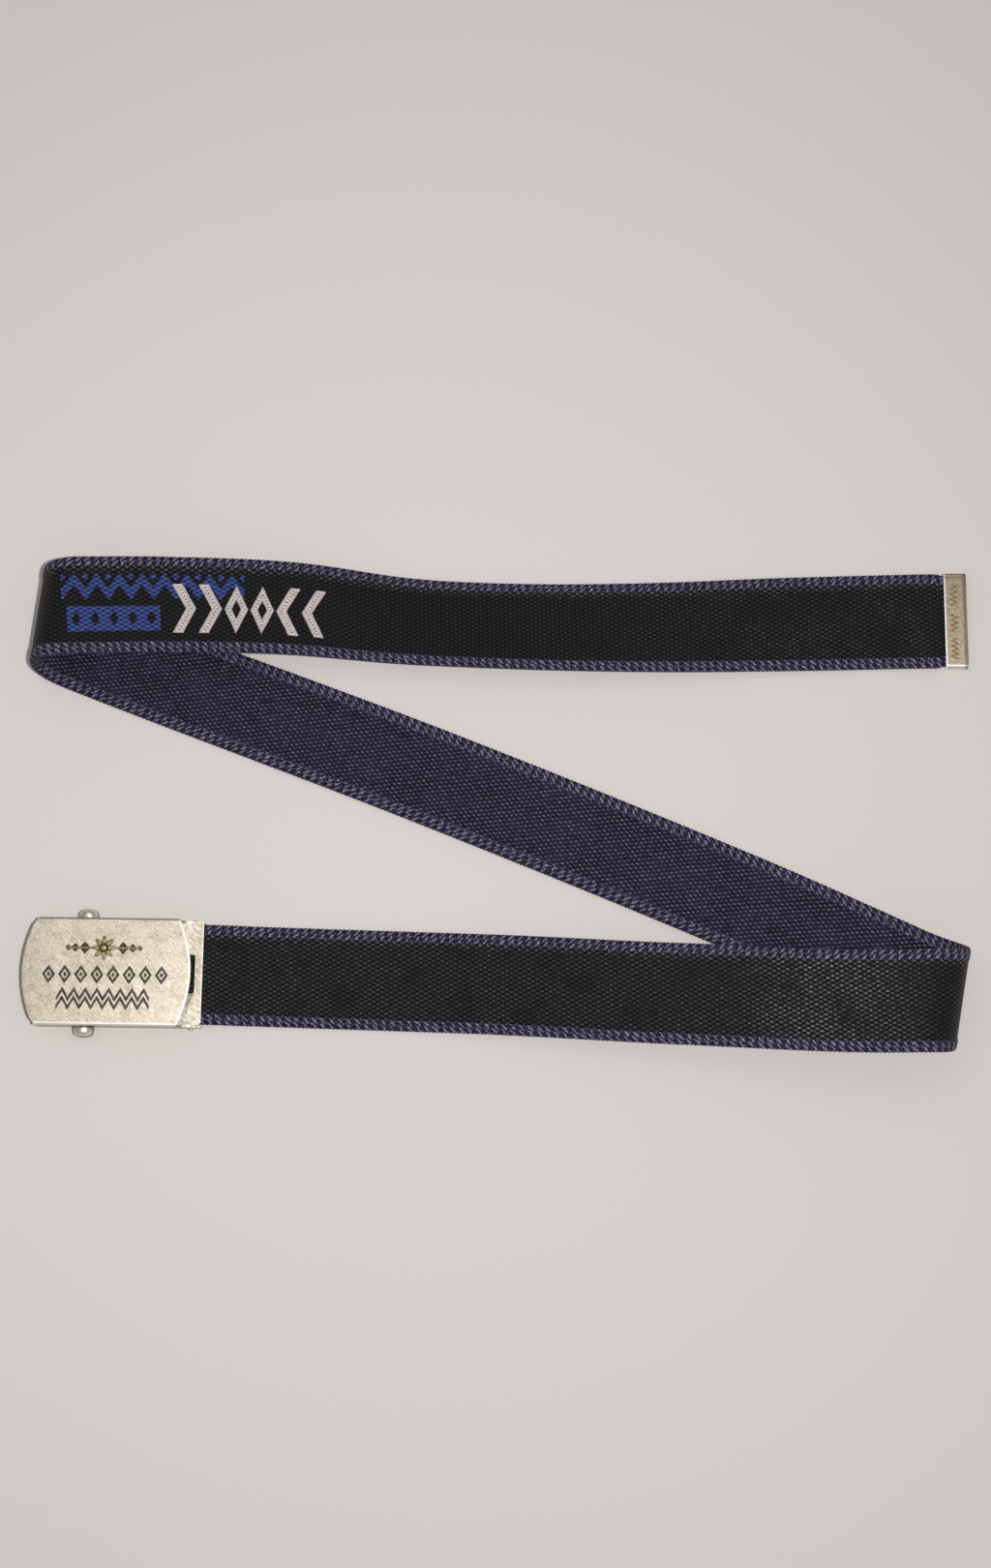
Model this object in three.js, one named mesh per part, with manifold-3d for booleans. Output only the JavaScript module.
// Fabric belt with a box-frame slide buckle, lying in a Z on a flat surface.
// Units are millimetres, +Z is up, +X runs along the belt's long side.
import * as THREE from 'three';
import { mergeVertices } from 'three/addons/utils/BufferGeometryUtils.js';
import Module from 'manifold-3d';

const wasm = await Module();
wasm.setup();
const rad = THREE.MathUtils.degToRad;

// Strap sizes
const strapLength = 1134.5;
const strapWidth = 40;
const selvedgeThickness = 3.2;
const pinchedThickness = 2.4;
const pinchLength = 10;

// How the strap lies: every bend turns about the same slanted fold line
const strapHeading = -0.8;
const foldLine = 79.3;
const clampedLength = 22;
const dropLength = 12;
const dropAngle = 9.6;
const lowerFlat = 50.3;
const rightRampRadius = 250;
const rightRampAngle = 9.15;
const rightLoopRadius = 15;
const diagonalLength = 360.3;
const leftLoopRadius = 13;
const leftRampAngle = 11.13;
const leftRampRadius = 200;
const strapStart = { x: -141, y: -78.15 };
const restHeight = selvedgeThickness / 2;

// Mesh steps along the strap, gentle runs and loops
const plainStep = 12;
const loopStep = 2.6;

// Metal sizes
const capLength = 9.2;
const capWidth = strapWidth + 0.4;
const capSheet = 0.6;
const capGap = 0.2;
const capHeight = pinchedThickness + 2 * capSheet + 2 * capGap;
const pinchedWidth = capWidth - 2 * capSheet - 2 * capGap;
const capLift = capSheet + capGap + pinchedThickness / 2 - restHeight;
const capCorner = 1.2;
const capRise = 40;

const buckleCorner = { x: -188.1, y: -77.6 };
const wallSheet = 0.8;
const strapSideGap = 0.5;
const frameHalf = strapWidth / 2 + strapSideGap + wallSheet;
const frameLeft = 5.2;
const frameRight = 70.9;
const flangeUnder = 10.5;
const wallTop = flangeUnder + wallSheet;
const flangeWidth = 4.6;
const flangeEnd = 61;
const stepX = 63.5;
const bridgeUnder = 5.4;
const bridgeTop = bridgeUnder + wallSheet;
const bridgeLeft = 56;
const bridgeSlot = { left: 64, right: 67.9, half: 7.7 };
const pegRadius = 1;
const pegGap = 0.1;
const pegX = [13, 53];
const pegInset = 3;
const pegY = frameHalf - pegInset;

const plateLength = 67;
const plateOverhang = 0.1;
const plateHalf = frameHalf + plateOverhang;
const plateSeatGap = 0.2;
const plateSheet = 1.1;
const plateUnder = wallTop + plateSeatGap;
const plateTop = plateUnder + plateSheet;
const plateArc = 5;
const plateRounding = 0.9;

const rollerRadius = 1.7;
const rollerGap = 0.06;
const rollerX = 24.3;
const rollerZ = 4.5;
const rollerTravel = 4;
const rollerSlope = 35;
const knobRadius = 4.25;
const knobDepth = 4;
const knobClear = 0.3;

const flapLeft = 47.5;
const flapSideGap = 0.2;
const flapHalf = frameHalf - wallSheet - flapSideGap;
const flapUnder = 0.5;
const flapTop = 1.3;
const hingeX = 66.5;
const hingeZ = 1.2;
const hingeRadius = 0.8;
const hingeGap = 0.06;
const hingeReach = 0.8;
const toothHeight = 0.5;
const toothCount = 9;

const emblemCentre = { x: 32.4, y: 9.3 };
const emblemGap = 0.1;
const emblemBar = { half: 14, width: 0.8, height: 0.35 };

const feltThickness = 1;
const feltGap = 0.15;
const feltHeight = 20.3;
const feltWidth = 9.6;
const feltPitch = 10.55;
const feltStroke = 4.2;
const feltStart = 0.7113;
const feltShift = -2;

// Strap section from the middle to the edge: shares of half width and of half thickness
const sectionRows = [
  { across: 0, thick: 0.75 },
  { across: 0.74, thick: 0.75 },
  { across: 0.79, thick: 0.92 },
  { across: 0.88, thick: 1 },
  { across: 0.965, thick: 0.86 },
  { across: 1, thick: 0.42 },
];

// How the strap strays from its folds: at is a share of the length, sway and lean are
// shares of the width, tilt is in degrees with the far edge down
const strayRows = [
  { at: 0, sway: 0, tilt: 0, lean: 0 },
  { at: 0.022, sway: 0, tilt: 0, lean: 0 },
  { at: 0.06, sway: -0.018, tilt: 0, lean: 0 },
  { at: 0.12, sway: -0.058, tilt: 0, lean: 0 },
  { at: 0.19, sway: -0.16, tilt: 0, lean: 0 },
  { at: 0.27, sway: -0.232, tilt: 0, lean: 0 },
  { at: 0.38, sway: -0.032, tilt: 0, lean: 0 },
  { at: 0.5, sway: 0.085, tilt: 0, lean: 0 },
  { at: 0.62, sway: 0.11, tilt: 0, lean: -0.03 },
  { at: 0.665, sway: 0.142, tilt: 0.3, lean: -0.038 },
  { at: 0.71, sway: 0.222, tilt: 1.8, lean: -0.03 },
  { at: 0.755, sway: 0.25, tilt: 6, lean: 0 },
  { at: 0.8, sway: 0.162, tilt: 14.3, lean: 0 },
  { at: 0.845, sway: 0.13, tilt: 14.1, lean: 0 },
  { at: 0.89, sway: 0.155, tilt: 9.2, lean: 0 },
  { at: 0.94, sway: 0.225, tilt: 1.6, lean: 0 },
  { at: 1, sway: 0.278, tilt: 0, lean: 0 },
];

const colours = {
  cloth: { color: 0x202021, roughness: 0.95, metalness: 0 },
  nickel: { color: 0xc8c3af, roughness: 0.38, metalness: 0.9 },
  brass: { color: 0x8a7748, roughness: 0.45, metalness: 0.9 },
  felt: { color: 0xbeb4b2, roughness: 1, metalness: 0 },
};

// The bends in order, as lengths and turns measured square to the fold line
function bendRows() {
  const loop = (radius, angle) => ({ length: radius * rad(180 + angle), turn: -180 - angle });
  const slope = (loopRadius, rampRadius, angle) => {
    const height = loopRadius * (1 + Math.cos(rad(angle))) - rampRadius * (1 - Math.cos(rad(angle)));
    return { length: height / Math.sin(rad(angle)), turn: 0 };
  };
  return [
    { length: clampedLength, turn: 0 },
    { length: dropLength, turn: -dropAngle },
    { length: dropLength, turn: dropAngle },
    { length: lowerFlat, turn: 0 },
    { length: rightRampRadius * rad(rightRampAngle), turn: rightRampAngle },
    slope(rightLoopRadius, rightRampRadius, rightRampAngle),
    loop(rightLoopRadius, rightRampAngle),
    { length: diagonalLength, turn: 0 },
    loop(leftLoopRadius, leftRampAngle),
    slope(leftLoopRadius, leftRampRadius, leftRampAngle),
    { length: leftRampRadius * rad(leftRampAngle), turn: leftRampAngle },
    { length: strapLength, turn: 0 },
  ];
}

// Each bend with where it starts: along the strap, out from the start, up, and its heading
function layBends() {
  const dropHeight = 2 * (dropLength / rad(dropAngle)) * (1 - Math.cos(rad(dropAngle)));
  let at = 0, out = 0, up = restHeight + dropHeight, heading = 0;
  return bendRows().map((row) => {
    const bend = { ...row, at, out, up, heading, rate: rad(row.turn) / row.length };
    ({ out, up, heading } = alongBend(bend, row.length));
    at += row.length;
    return bend;
  });
}

function alongBend(bend, distance) {
  const heading = bend.heading + bend.rate * distance;
  if (bend.rate === 0) {
    const out = bend.out + distance * Math.cos(heading);
    return { out, up: bend.up + distance * Math.sin(heading), heading };
  }
  const out = bend.out + (Math.sin(heading) - Math.sin(bend.heading)) / bend.rate;
  return { out, up: bend.up - (Math.cos(heading) - Math.cos(bend.heading)) / bend.rate, heading };
}

const bends = layBends();
const loops = bends.filter((bend) => bend.turn < -90);
const foldSlant = rad(90 - foldLine) + rad(strapHeading);

// Smooth value between the rows of a table
function between(rows, column, at) {
  const last = rows.length - 2;
  let k = rows.findIndex((row) => row.at > at) - 1;
  if (k < 0) k = at >= 1 ? last : 0;
  const slopeAt = (j) => {
    if (j === 0 || j === rows.length - 1) return 0;
    const before = rows[j - 1];
    const after = rows[j + 1];
    return (after[column] - before[column]) / (after.at - before.at);
  };
  const span = rows[k + 1].at - rows[k].at;
  const t = Math.min(1, Math.max(0, (at - rows[k].at) / span));
  const curve = rows[k][column] * (1 - 3 * t * t + 2 * t * t * t)
    + rows[k + 1][column] * (3 * t * t - 2 * t * t * t);
  return curve + span * (slopeAt(k) * (t - 2 * t * t + t * t * t) + slopeAt(k + 1) * (t * t * t - t * t));
}

const smooth = (t) => THREE.MathUtils.smootherstep(t, 0, 1);

// A point of the strap: along its length, across its width, and out from its middle layer
function strapPoint(along, across, out) {
  const c = along * Math.cos(foldSlant) - across * Math.sin(foldSlant);
  const g = along * Math.sin(foldSlant) + across * Math.cos(foldSlant);
  const bend = bends.findLast((row) => c >= row.at) ?? bends[0];
  const lie = alongBend(bend, c - bend.at);
  const p = lie.out - out * Math.sin(lie.heading);
  const share = along / strapLength;
  const tilt = rad(between(strayRows, 'tilt', share));
  const x = strapStart.x + p * Math.sin(rad(foldLine)) + g * Math.cos(rad(foldLine));
  const y = strapStart.y - p * Math.cos(rad(foldLine)) + g * Math.sin(rad(foldLine));
  const z = lie.up + out * Math.cos(lie.heading);
  return new THREE.Vector3(
    x + 2 * across * between(strayRows, 'lean', share),
    y + across * (Math.cos(tilt) - 1) + strapWidth * between(strayRows, 'sway', share),
    z + (strapWidth / 2 - across) * Math.sin(tilt) + capLift * smooth((along - strapLength + capRise) / 30),
  );
}

function stations() {
  const list = [0];
  const reach = strapWidth / 2 * Math.sin(foldSlant) + loopStep;
  const inLoop = (s) => loops.some((row) => {
    const c = s * Math.cos(foldSlant);
    return c > row.at - reach && c < row.at + row.length + reach;
  });
  while (list.at(-1) < strapLength) {
    const s = list.at(-1);
    const near = inLoop(s) || inLoop(s + plainStep / 2);
    const fine = s > strapLength - pinchLength - plainStep;
    list.push(Math.min(strapLength, s + (near ? loopStep : fine ? plainStep / 3 : plainStep)));
  }
  return list;
}

function sectionRing() {
  const half = [...sectionRows].reverse();
  const top = [...half.map((r) => ({ ...r, across: -r.across })), ...sectionRows.slice(1)];
  const under = [...top].reverse().map((r) => ({ ...r, thick: -r.thick }));
  return [...top, ...under];
}

function webbingGeometry() {
  const ring = sectionRing();
  const positions = [];
  const rows = stations();
  for (const s of rows) {
    const pinch = smooth((s - strapLength + pinchLength + 4) / 4);
    const halfWide = THREE.MathUtils.lerp(strapWidth, pinchedWidth, pinch) / 2;
    const halfThick = THREE.MathUtils.lerp(selvedgeThickness, pinchedThickness, pinch) / 2;
    for (const { across, thick } of ring) {
      positions.push(...strapPoint(s, across * halfWide, thick * halfThick).toArray());
    }
  }
  const n = ring.length;
  const index = [];
  for (let row = 0; row < rows.length - 1; row++) {
    for (let k = 0; k < n; k++) {
      const a = row * n + k;
      const b = row * n + (k + 1) % n;
      index.push(a, a + n, b, b, a + n, b + n);
    }
  }
  const last = (rows.length - 1) * n;
  for (let k = 0; k < n / 2 - 1; k++) {
    const below = n - 1 - k;
    index.push(k, k + 1, below, k + 1, below - 1, below);
    index.push(last + k + 1, last + k, last + below, last + below - 1, last + k + 1, last + below);
  }
  const geometry = new THREE.BufferGeometry();
  geometry.setAttribute('position', new THREE.Float32BufferAttribute(positions, 3));
  geometry.setIndex(index);
  return geometry;
}

function solid(geometry) {
  const bare = new THREE.BufferGeometry();
  bare.setAttribute('position', geometry.getAttribute('position'));
  if (geometry.index) bare.setIndex(geometry.index);
  const welded = mergeVertices(bare, 1e-4);
  return new wasm.Manifold(new wasm.Mesh({
    numProp: 3,
    vertProperties: new Float32Array(welded.getAttribute('position').array),
    triVerts: new Uint32Array(welded.index.array),
  }));
}

function skin(manifold) {
  const mesh = manifold.getMesh();
  const geometry = new THREE.BufferGeometry();
  geometry.setAttribute('position', new THREE.Float32BufferAttribute(mesh.vertProperties, 3));
  geometry.setIndex(Array.from(mesh.triVerts));
  return geometry;
}

const join = (parts) => parts.reduce((sum, part) => sum.add(part));

// A flat sheet drawn from above, standing between two heights
function slab(shape, low, high) {
  const depth = high - low;
  const geometry = new THREE.ExtrudeGeometry(shape, { depth, bevelEnabled: false, curveSegments: 6 });
  return solid(geometry.translate(0, 0, low));
}

// An upright sheet drawn from the side, from one y to another
function upright(shape, near, far) {
  const depth = far - near;
  const geometry = new THREE.ExtrudeGeometry(shape, { depth, bevelEnabled: false, curveSegments: 6 });
  return solid(geometry.rotateX(Math.PI / 2).translate(0, far, 0));
}

function box(x0, x1, y0, y1, z0, z1) {
  const geometry = new THREE.BoxGeometry(x1 - x0, y1 - y0, z1 - z0);
  return solid(geometry.translate((x0 + x1) / 2, (y0 + y1) / 2, (z0 + z1) / 2));
}

function polygon(points) {
  return new THREE.Shape(points.map(([x, y]) => new THREE.Vector2(x, y)));
}

function circle(x, y, radius) {
  return new THREE.Path().absarc(x, y, radius, 0, 2 * Math.PI);
}

// The long round hole that the roller slides in
function rollerSlot() {
  const r = rollerRadius + rollerGap;
  const slope = rad(180 - rollerSlope);
  const endX = rollerX + rollerTravel * Math.cos(slope);
  const endZ = rollerZ + rollerTravel * Math.sin(slope);
  const slot = new THREE.Path();
  slot.absarc(rollerX, rollerZ, r, slope - Math.PI / 2, slope + Math.PI / 2, true);
  slot.absarc(endX, endZ, r, slope + Math.PI / 2, slope - Math.PI / 2, true);
  slot.closePath();
  return slot;
}

function wallShape() {
  const shape = new THREE.Shape();
  shape.moveTo(frameLeft + 2, 0);
  shape.lineTo(frameRight - 1, 0);
  shape.lineTo(frameRight, 1);
  shape.lineTo(frameRight, bridgeTop);
  shape.lineTo(stepX, bridgeTop);
  shape.lineTo(flangeEnd, bridgeTop + 2);
  shape.lineTo(flangeEnd, wallTop);
  shape.lineTo(frameLeft, wallTop);
  shape.lineTo(frameLeft, 2);
  shape.quadraticCurveTo(frameLeft, 0, frameLeft + 2, 0);
  shape.holes.push(rollerSlot(), circle(hingeX, hingeZ, hingeRadius + hingeGap));
  return shape;
}

function bridgeShape() {
  const shape = polygon([
    [bridgeLeft, -frameHalf], [frameRight - 2, -frameHalf], [frameRight, -frameHalf + 2],
    [frameRight, frameHalf - 0.6], [frameRight - 0.6, frameHalf], [bridgeLeft, frameHalf],
  ]);
  const { left, right, half } = bridgeSlot;
  const slot = polygon([
    [left, -half], [right - 0.6, -half], [right, -half + 0.6],
    [right, half - 0.6], [right - 0.6, half], [left, half],
  ]);
  shape.holes.push(slot);
  return shape;
}

function buckleFrame() {
  const walls = [upright(wallShape(), frameHalf - wallSheet, frameHalf),
    upright(wallShape(), -frameHalf, -frameHalf + wallSheet)];
  const flanges = [1, -1].map((side) => {
    const edge = side * frameHalf;
    const inner = side * (frameHalf - flangeWidth);
    const shape = polygon([[frameLeft, inner], [flangeEnd, inner], [flangeEnd, edge], [frameLeft, edge]]);
    for (const x of pegX) shape.holes.push(circle(x, side * pegY, pegRadius + pegGap));
    return slab(shape, flangeUnder, wallTop);
  });
  return join([...walls, ...flanges, slab(bridgeShape(), bridgeUnder, bridgeTop)]);
}

// Outline of the plaque from above: straight long sides, curved ends, clipped left corners
function plateOutline() {
  const shape = new THREE.Shape();
  const clip = 1.3;
  const steps = 14;
  shape.moveTo(plateArc + clip, -plateHalf);
  shape.lineTo(plateLength - plateArc, -plateHalf);
  for (let k = 1; k <= steps; k++) {
    const v = 2 * k / steps - 1;
    shape.lineTo(plateLength - plateArc * v * v, v * plateHalf);
  }
  shape.lineTo(plateArc + clip, plateHalf);
  for (let k = 1; k < steps; k++) {
    const v = 1 - 2 * k / steps;
    shape.lineTo(plateArc * v * v, v * plateHalf);
  }
  return shape;
}

function facePlate() {
  const r = plateRounding;
  const section = new THREE.Shape();
  section.moveTo(-plateHalf, plateUnder);
  section.lineTo(plateHalf, plateUnder);
  section.lineTo(plateHalf, plateTop - r);
  section.absarc(plateHalf - r, plateTop - r, r, 0, Math.PI / 2);
  section.absarc(-plateHalf + r, plateTop - r, r, Math.PI / 2, Math.PI);
  const depth = plateLength;
  const bar = new THREE.ExtrudeGeometry(section, { depth, bevelEnabled: false, curveSegments: 4 });
  const rounded = solid(bar.rotateX(Math.PI / 2).rotateZ(Math.PI / 2));
  const plate = rounded.intersect(slab(plateOutline(), plateUnder - 1, plateTop + 1));
  const pegs = pegX.flatMap((x) => [pegY, -pegY].map((y) => {
    const round = new THREE.Shape().absarc(x, y, pegRadius, 0, 2 * Math.PI);
    return slab(round, flangeUnder - pegGap, plateUnder + plateSeatGap);
  }));
  return join([plate, ...pegs]);
}

// A flower of eight petals between two rows of lozenges on a thin bar
function emblem() {
  const low = plateTop + emblemGap;
  const centre = emblemCentre;
  const petals = new THREE.Shape();
  const count = 8;
  for (let k = 0; k <= count * 4; k++) {
    const turn = 2 * Math.PI * k / (count * 4);
    const reach = 3.9 + 1 * Math.cos(count * turn);
    const point = [centre.x + reach * Math.cos(turn), centre.y + reach * Math.sin(turn)];
    if (k === 0) petals.moveTo(...point);
    else petals.lineTo(...point);
  }
  const lozenge = (x, wide, high) => polygon([
    [x - wide / 2, centre.y], [x, centre.y - high / 2], [x + wide / 2, centre.y], [x, centre.y + high / 2],
  ]);
  const side = [
    { out: 7.6, wide: 4.4, high: 5 },
    { out: 11.4, wide: 3.4, high: 3.6 },
    { out: 14.2, wide: 2.4, high: 2.4 },
  ];
  const { half, width, height } = emblemBar;
  const bar = box(centre.x - half, centre.x + half, centre.y - width / 2, centre.y + width / 2, low, low + height);
  const parts = [slab(petals, low, low + 0.9), bar];
  for (const { out, wide, high } of side) {
    parts.push(slab(lozenge(centre.x + out, wide, high), low, low + 0.6));
    parts.push(slab(lozenge(centre.x - out, wide, high), low, low + 0.6));
  }
  const bead = new THREE.SphereGeometry(1.5, 12, 6).scale(1, 1, 0.6).translate(centre.x, centre.y, low + 0.9);
  return join([...parts, solid(bead)]);
}

function roller() {
  const inner = frameHalf + knobClear;
  const profile = [[0, -inner - knobDepth]];
  const dome = (side) => {
    const rows = [];
    for (let k = 1; k <= 4; k++) {
      const t = k / 4 * Math.PI / 2;
      rows.push([knobRadius * Math.sin(t), side * (inner + 0.7 + (knobDepth - 0.7) * Math.cos(t))]);
    }
    rows.push([knobRadius * 0.93, side * inner]);
    return rows;
  };
  profile.push(...dome(-1), [rollerRadius, -inner], [rollerRadius, inner], ...dome(1).reverse());
  profile.push([0, inner + knobDepth]);
  const turned = new THREE.LatheGeometry(profile.map(([r, y]) => new THREE.Vector2(r, y)), 20);
  return turned.translate(rollerX, 0, 0).translate(0, 0, rollerZ);
}

function clampFlap() {
  const plate = box(flapLeft, hingeX + 0.3, -flapHalf, flapHalf, flapUnder, flapTop);
  const nubs = [1, -1].map((side) => {
    const inner = flapHalf - 0.3;
    const outer = frameHalf + hingeReach;
    const nub = new THREE.CylinderGeometry(hingeRadius, hingeRadius, outer - inner, 12);
    return solid(nub.translate(hingeX, side * (inner + outer) / 2, hingeZ));
  });
  const pitch = 2 * (flapHalf - 2) / toothCount;
  const teeth = Array.from({ length: toothCount }, (_, k) => {
    const y = -flapHalf + 2 + pitch * (k + 0.5);
    const tooth = polygon([[y - 1.2, flapTop - 0.2], [y + 1.2, flapTop - 0.2], [y, flapTop + toothHeight]]);
    const geometry = new THREE.ExtrudeGeometry(tooth, { depth: 1.2, bevelEnabled: false });
    return solid(geometry.rotateX(Math.PI / 2).rotateZ(Math.PI / 2).translate(flapLeft + 1.4, 0, 0));
  });
  return join([plate, ...nubs, ...teeth]);
}

function tipCap() {
  const r = capCorner;
  const half = capWidth / 2;
  const section = new THREE.Shape();
  section.absarc(half - r, r, r, -Math.PI / 2, 0);
  section.absarc(half - r, capHeight - r, r, 0, Math.PI / 2);
  section.absarc(-half + r, capHeight - r, r, Math.PI / 2, Math.PI);
  section.absarc(-half + r, r, r, Math.PI, 1.5 * Math.PI);
  const bar = new THREE.ExtrudeGeometry(section, { depth: capLength, bevelEnabled: false, curveSegments: 4 });
  const outer = solid(bar.rotateX(Math.PI / 2).rotateZ(Math.PI / 2));
  const slotHalf = half - capSheet;
  const hollow = box(-1, capLength - capSheet, -slotHalf, slotHalf, capSheet, capHeight - capSheet);
  return outer.subtract(hollow);
}

// Stitched felt shapes: chevrons pointing in towards two hollow lozenges
function feltShape(number) {
  const w = feltWidth / 2;
  const h = feltHeight / 2;
  const s = feltStroke;
  if (number === 3 || number === 4) {
    const shape = polygon([[-w, 0], [0, -h], [w, 0], [0, h]]);
    const hole = new THREE.Path([[-w + 2.9, 0], [0, h - 6.1], [w - 2.9, 0], [0, -h + 6.1]]
      .map(([x, y]) => new THREE.Vector2(x, y)));
    shape.holes.push(hole);
    return shape;
  }
  const way = number < 3 ? 1 : -1;
  const points = [[-w, h], [-w + s, h], [w, 0], [-w + s, -h], [-w, -h], [w - s, 0]];
  return polygon(way > 0 ? points.reverse() : points.map(([x, y]) => [-x, y]));
}

function felt(number) {
  const shape = feltShape(number);
  const geometry = new THREE.ExtrudeGeometry(shape, { depth: feltThickness, bevelEnabled: false });
  const position = geometry.getAttribute('position');
  const base = selvedgeThickness / 2 * sectionRows[0].thick + feltGap;
  const middle = feltStart * strapLength + feltPitch * (number - 0.5);
  for (let k = 0; k < position.count; k++) {
    const point = strapPoint(middle + position.getX(k), feltShift + position.getY(k), base + position.getZ(k));
    position.setXYZ(k, point.x, point.y, point.z);
  }
  return skin(solid(geometry));
}

const group = new THREE.Group();

function piece(name, geometry, finish) {
  geometry.deleteAttribute('normal');
  geometry.computeVertexNormals();
  const mesh = new THREE.Mesh(geometry, new THREE.MeshStandardMaterial(colours[finish]));
  mesh.name = name;
  group.add(mesh);
}

const ontoBuckle = new THREE.Matrix4()
  .makeTranslation(buckleCorner.x, buckleCorner.y, 0)
  .multiply(new THREE.Matrix4().makeRotationZ(rad(strapHeading)));

const strapEnd = strapPoint(strapLength, 0, 0);
const beforeEnd = strapPoint(strapLength - capLength, 0, 0);
const endHeading = Math.atan2(strapEnd.y - beforeEnd.y, strapEnd.x - beforeEnd.x);
const ontoTip = new THREE.Matrix4()
  .makeTranslation(strapEnd.x, strapEnd.y, 0)
  .multiply(new THREE.Matrix4().makeRotationZ(endHeading))
  .multiply(new THREE.Matrix4().makeTranslation(capGap + capSheet - capLength, 0, 0));

piece('webbing', webbingGeometry(), 'cloth');
piece('tip_cap', skin(tipCap()).applyMatrix4(ontoTip), 'nickel');
piece('buckle_frame', skin(buckleFrame()).applyMatrix4(ontoBuckle), 'nickel');
piece('face_plate', skin(facePlate()).applyMatrix4(ontoBuckle), 'nickel');
piece('emblem', skin(emblem()).applyMatrix4(ontoBuckle), 'brass');
piece('roller', skin(solid(roller())).applyMatrix4(ontoBuckle), 'nickel');
piece('clamp_flap', skin(clampFlap()).applyMatrix4(ontoBuckle), 'nickel');
for (let number = 1; number <= 6; number++) piece(`applique_${number}`, felt(number), 'felt');

// The origin sits under the middle of the whole belt, on the surface it lies on
const extent = new THREE.Box3().setFromObject(group);
const middle = extent.getCenter(new THREE.Vector3());
for (const mesh of group.children) mesh.geometry.translate(-middle.x, -middle.y, -extent.min.z);

export default group;
